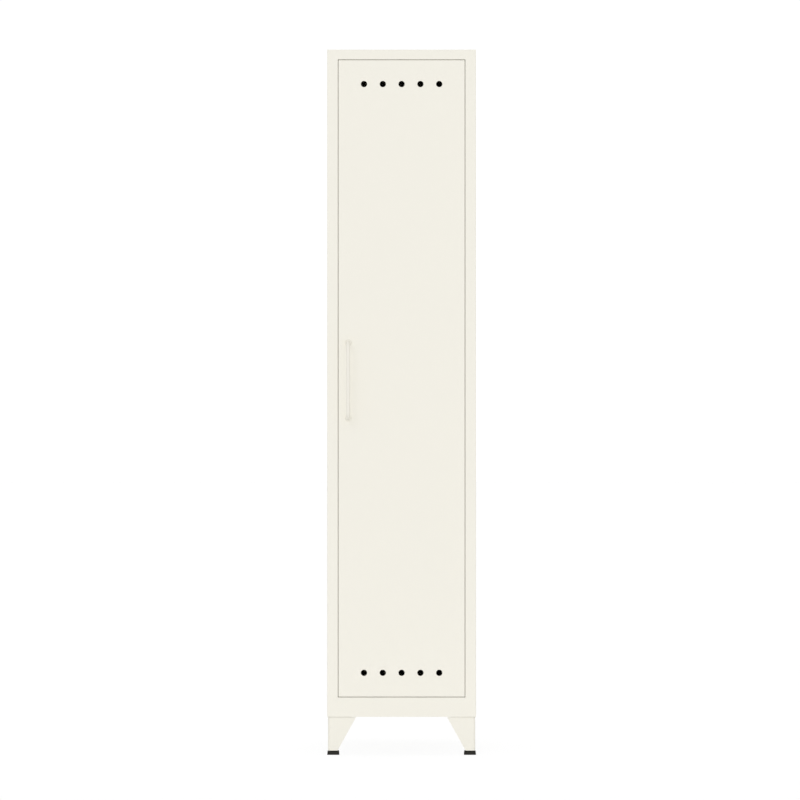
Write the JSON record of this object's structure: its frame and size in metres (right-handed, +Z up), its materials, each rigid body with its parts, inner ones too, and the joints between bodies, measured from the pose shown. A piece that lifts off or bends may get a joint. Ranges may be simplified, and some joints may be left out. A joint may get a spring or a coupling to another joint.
{
  "type": "metal locker",
  "caption": "Tall narrow sheet steel locker with one flush vented door, bow handle, tapered folded legs, hat shelf and coat rail.",
  "frame": {"origin": "floor level, at the centre of the footprint with the handle included", "axes": "+Z up, +X to the right seen from the front, +Y from the door to the back"},
  "size_m": [0.38, 0.548, 1.8],
  "materials": {
    "powder_coat": "fine matt powder coat, warm white",
    "zinc_plated": "bright zinc plating",
    "black_plastic": "moulded, matt",
    "rail_chrome": "chrome plated tube",
    "buffer_rubber": "soft, matt",
    "ferrite": "sintered, dull"
  },
  "bodies": {
    "cabinet": {"left_side_panel": "powder_coat", "right_side_panel": "powder_coat", "top_panel": "powder_coat", "base_panel": "powder_coat", "back_panel": "powder_coat", "hat_shelf": "powder_coat", "shelf_bearer_left": "powder_coat", "shelf_bearer_right": "powder_coat", "corner_plate_front_left": "powder_coat", "corner_plate_front_right": "powder_coat", "corner_plate_rear_left": "powder_coat", "corner_plate_rear_right": "powder_coat", "leg_front_left": "powder_coat", "leg_front_right": "powder_coat", "leg_rear_left": "powder_coat", "leg_rear_right": "powder_coat", "hinge_arm_upper": "powder_coat", "hinge_arm_middle": "powder_coat", "hinge_arm_lower": "powder_coat", "leg_screws": "zinc_plated", "leg_nuts": "zinc_plated", "foot_nuts": "zinc_plated", "catch_screws": "zinc_plated", "rail_screws": "zinc_plated", "rail_nuts": "zinc_plated", "rail_bracket_left": "zinc_plated", "rail_bracket_right": "zinc_plated", "rail_caps": "black_plastic", "catch_housing": "black_plastic", "coat_rail": "rail_chrome", "door_buffers": "buffer_rubber", "catch_magnet": "ferrite"},
    "door": {"door_panel": "powder_coat", "door_stiffener": "powder_coat", "door_handle": "powder_coat", "handle_screws": "zinc_plated", "handle_washers": "zinc_plated", "hinge_bracket_upper": "powder_coat", "hinge_bracket_middle": "powder_coat", "hinge_bracket_lower": "powder_coat", "hinge_pin_upper": "zinc_plated", "hinge_pin_middle": "zinc_plated", "hinge_pin_lower": "zinc_plated"},
    "foot_front_left": {"foot_pad_front_left": "black_plastic", "foot_stem_front_left": "zinc_plated"},
    "foot_front_right": {"foot_pad_front_right": "black_plastic", "foot_stem_front_right": "zinc_plated"},
    "foot_rear_left": {"foot_pad_rear_left": "black_plastic", "foot_stem_rear_left": "zinc_plated"},
    "foot_rear_right": {"foot_pad_rear_right": "black_plastic", "foot_stem_rear_right": "zinc_plated"}
  },
  "joints": [
    {"name": "door_hinge", "type": "hinge", "parent": "cabinet", "child": "door", "pos_m": [0.1523, -0.2309, 0.94875], "axis": [0, 0, 1], "range_deg": [0, 105]},
    {"name": "lift_front_left", "type": "slide", "parent": "cabinet", "child": "foot_front_left", "axis": [0, 0, -1], "range_m": [0, 0.02]},
    {"name": "lift_front_right", "type": "slide", "parent": "cabinet", "child": "foot_front_right", "axis": [0, 0, -1], "range_m": [0, 0.02]},
    {"name": "lift_rear_left", "type": "slide", "parent": "cabinet", "child": "foot_rear_left", "axis": [0, 0, -1], "range_m": [0, 0.02]},
    {"name": "lift_rear_right", "type": "slide", "parent": "cabinet", "child": "foot_rear_right", "axis": [0, 0, -1], "range_m": [0, 0.02]}
  ]
}
